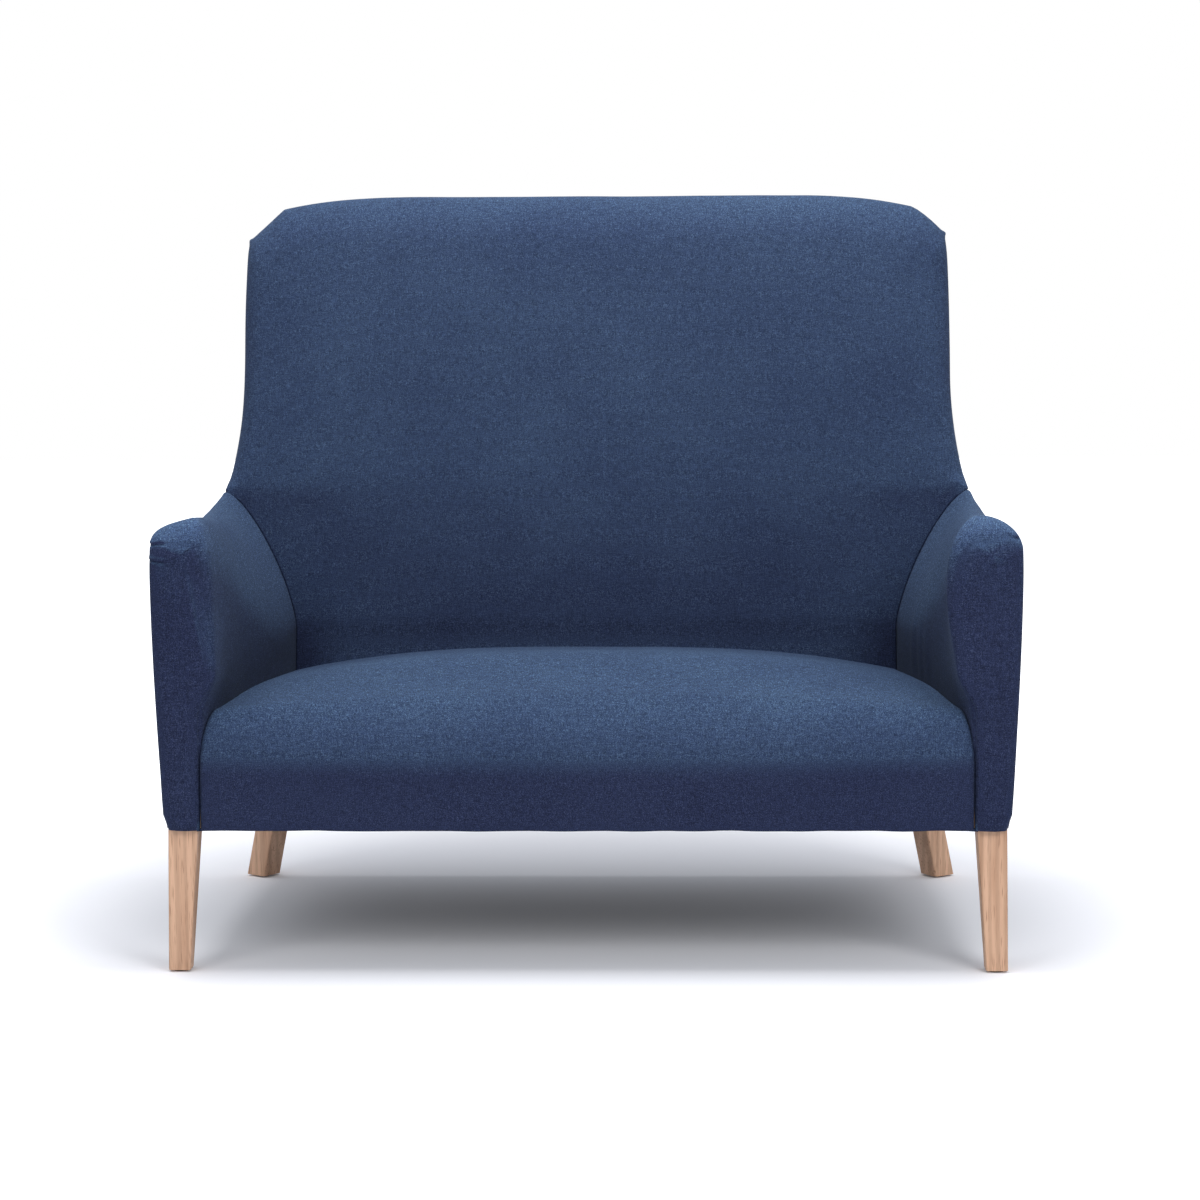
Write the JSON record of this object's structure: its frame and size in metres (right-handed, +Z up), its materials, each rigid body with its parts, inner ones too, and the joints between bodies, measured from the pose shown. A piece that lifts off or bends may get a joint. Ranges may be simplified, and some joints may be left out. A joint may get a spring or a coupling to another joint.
{
  "type": "high_back_settee",
  "caption": "Tight-upholstered high back settee in navy wool with low flared arms, cut top corners and tapered pale oak legs",
  "frame": {"origin": "centre of the settee's outline at floor level", "axes": "X across the settee, front faces -Y, Z up"},
  "size_m": [1.2682, 0.8, 1.163],
  "materials": {
    "oak": "pale oiled oak, straight vertical grain, satin",
    "glide": "dark nylon, matt",
    "steel": "zinc plated",
    "beech": "planed beech, unfinished, inside the covers",
    "hardboard": "dark brown tempered fibreboard, inside the covers",
    "webbing": "elastic upholstery webbing, inside the covers",
    "foam": "upholstery foam, inside the covers",
    "wadding": "polyester wadding, inside the covers",
    "navy_wool": "navy melange wool, fine weave with pale flecks, soft sheen",
    "dust_cloth": "black non-woven cloth under the seat"
  },
  "bodies": {
    "root": {"front_leg_left": "oak", "front_leg_right": "oak", "rear_leg_left": "oak", "rear_leg_right": "oak", "leg_glides": "glide", "leg_bolts": "steel", "tee_nuts": "steel", "frame_screws": "steel", "front_rail": "beech", "back_rail": "beech", "side_rail_left": "beech", "side_rail_right": "beech", "centre_rail": "beech", "front_corner_blocks": "beech", "rear_corner_blocks": "beech", "arm_front_board_left": "beech", "arm_front_board_right": "beech", "arm_top_rail_left": "beech", "arm_top_rail_right": "beech", "arm_tack_rail_left": "beech", "arm_tack_rail_right": "beech", "arm_rear_post_left": "beech", "arm_rear_post_right": "beech", "back_side_board_left": "beech", "back_side_board_right": "beech", "back_top_rail": "beech", "back_liner_rail": "beech", "back_stile": "beech", "arm_inner_panel_left": "hardboard", "arm_inner_panel_right": "hardboard", "outside_arm_panel_left": "hardboard", "outside_arm_panel_right": "hardboard", "outside_back_panel": "hardboard", "seat_webbing_along": "webbing", "seat_webbing_across": "webbing", "back_webbing_up": "webbing", "back_webbing_across": "webbing", "seat_foam": "foam", "back_foam": "foam", "arm_foam_left": "foam", "arm_foam_right": "foam", "front_border_wadding": "wadding", "seat_cover": "navy_wool", "inside_back_cover": "navy_wool", "arm_cover_left": "navy_wool", "arm_cover_right": "navy_wool", "outside_arm_cover_left": "navy_wool", "outside_arm_cover_right": "navy_wool", "outside_back_cover": "navy_wool", "dust_cover": "dust_cloth"}
  },
  "joints": []
}
